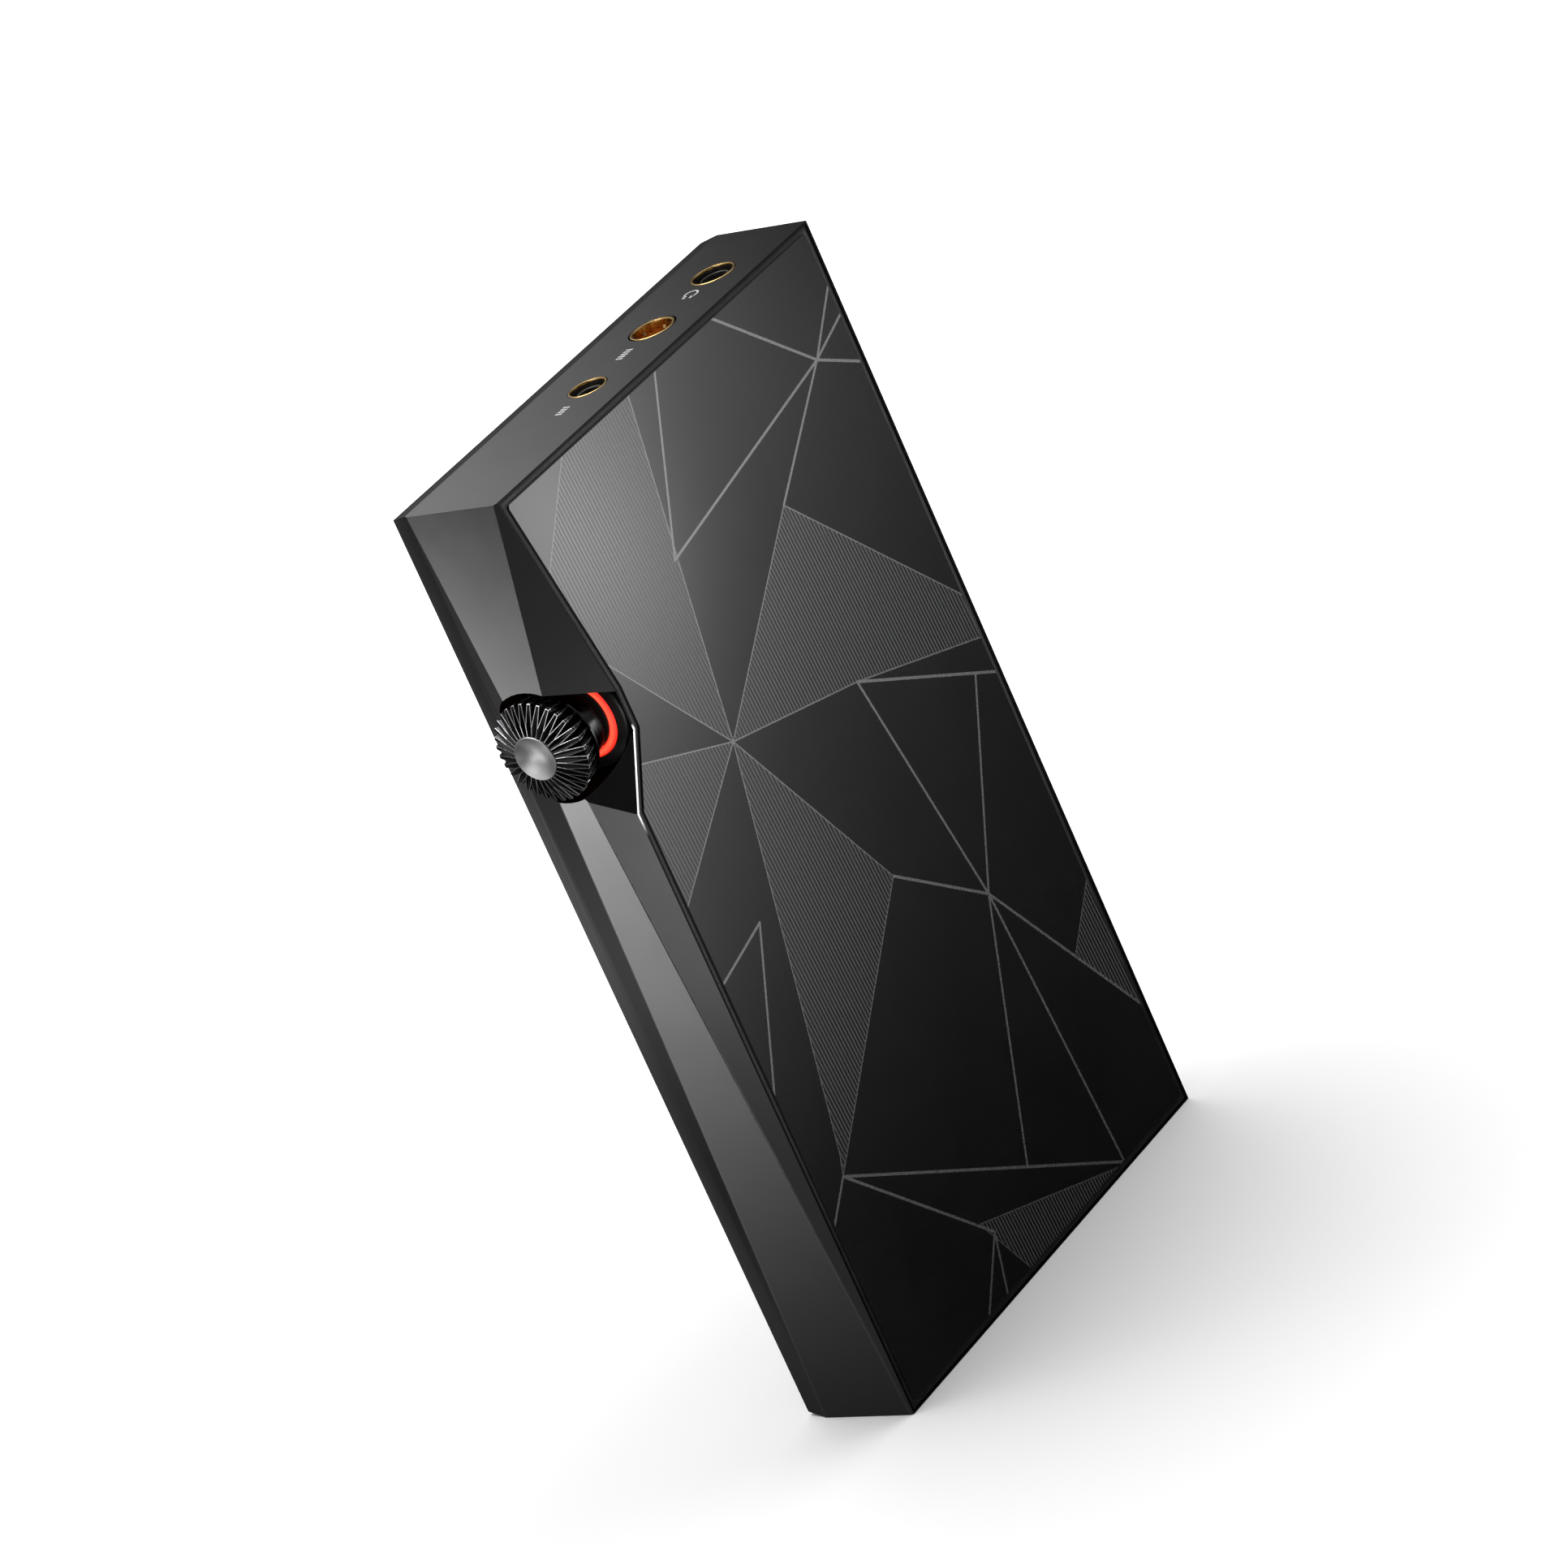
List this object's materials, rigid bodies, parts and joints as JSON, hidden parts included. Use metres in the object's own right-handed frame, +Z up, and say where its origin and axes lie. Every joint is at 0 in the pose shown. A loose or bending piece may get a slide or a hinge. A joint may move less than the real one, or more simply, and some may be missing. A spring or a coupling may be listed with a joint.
{
  "type": "digital audio player",
  "caption": "Slim upright pocket audio player: faceted polished steel body, patterned black glass back, crown-shaped volume wheel in a side well, headphone sockets on top, buttons on the side.",
  "frame": {"origin": "centre of the plain body's bottom end face, where the player stands", "axes": "+Z up along the body's length, +Y towards the glass back (the display faces -Y), +X towards the volume wheel"},
  "size_m": [0.0823, 0.0184, 0.1394],
  "materials": {
    "polished_steel": "dark mirror-polished steel with a black coating",
    "back_glass": "black patterned ceramic-look glass, gloss",
    "cover_glass": "black cover glass, gloss",
    "gasket_black": "black, satin",
    "display": "unlit display panel",
    "flex_orange": "polyimide ribbon",
    "battery_silver": "foil pouch",
    "foam_grey": "foam pad",
    "wire_red": "insulated wires",
    "board_green": "printed circuit board",
    "chip_black": "moulded chips",
    "pad_blue": "silicone pad",
    "tin_cans": "tinned sheet cans",
    "copper": "copper foil sheet",
    "gold_plate": "gold-plated, bright",
    "socket_black": "black socket body",
    "socket_amber": "gold-plated socket",
    "wheel_chrome": "black chrome, faceted",
    "dish_satin": "satin dish",
    "shaft_steel": "turned steel",
    "bushing_black": "black, gloss",
    "encoder_grey": "moulded plastic",
    "switch_metal": "stamped steel",
    "light_ring_red": "light guide, glows red",
    "button_steel": "dark mirror-polished steel",
    "bracket_steel": "stamped steel",
    "port_steel": "stamped steel shell"
  },
  "bodies": {
    "player": {"unibody_frame": "polished_steel", "front_glass": "cover_glass", "display_panel": "display", "display_flex": "flex_orange", "back_plate": "back_glass", "back_plate_gasket": "gasket_black", "battery_cell": "battery_silver", "battery_pad": "foam_grey", "battery_lead": "wire_red", "main_board": "board_green", "processor_chip": "chip_black", "memory_chips": "chip_black", "thermal_pad": "pad_blue", "digital_shield_can": "tin_cans", "analog_board": "board_green", "dac_chips": "chip_black", "amplifier_chips": "chip_black", "analog_shield_can": "tin_cans", "board_connector": "chip_black", "heat_spreader": "copper", "antenna_module": "chip_black", "jack_board": "board_green", "jack_35_body": "socket_black", "jack_35_ring": "gold_plate", "jack_44_body": "socket_amber", "jack_44_ring": "gold_plate", "jack_25_body": "socket_black", "jack_25_ring": "gold_plate", "wheel_bushing": "bushing_black", "encoder_body": "encoder_grey", "encoder_board": "board_green", "power_switch": "switch_metal", "wheel_flex": "flex_orange", "led_board": "board_green", "light_ring": "light_ring_red", "wheel_well_plate": "bushing_black", "button_switches": "switch_metal", "button_board": "board_green", "button_bracket": "bracket_steel", "bottom_board": "board_green", "usb_c_receptacle": "port_steel", "microsd_socket": "port_steel", "board_screws": "bracket_steel"},
    "encoder_hub": {"encoder_rotor": "encoder_grey"},
    "wheel": {"wheel_knob": "wheel_chrome", "wheel_cap": "dish_satin", "wheel_shaft": "shaft_steel"},
    "previous_button": {"previous_button": "button_steel"},
    "play_button": {"play_button": "button_steel"},
    "next_button": {"next_button": "button_steel"}
  },
  "joints": [
    {"name": "wheel_spin", "type": "hinge", "parent": "player", "child": "encoder_hub", "pos_m": [0.03, 0.0015, 0.10554], "axis": [1, 0, 0], "continuous": true},
    {"name": "wheel_press", "type": "slide", "parent": "encoder_hub", "child": "wheel", "axis": [-1, 0, 0], "range_m": [0, 0.0004], "stiffness_N_per_m": 2500},
    {"name": "previous_press", "type": "slide", "parent": "player", "child": "previous_button", "axis": [1, 0, 0], "range_m": [0, 0.00035], "stiffness_N_per_m": 1500},
    {"name": "play_press", "type": "slide", "parent": "player", "child": "play_button", "axis": [1, 0, 0], "range_m": [0, 0.00035], "stiffness_N_per_m": 1500},
    {"name": "next_press", "type": "slide", "parent": "player", "child": "next_button", "axis": [1, 0, 0], "range_m": [0, 0.00035], "stiffness_N_per_m": 1500}
  ]
}
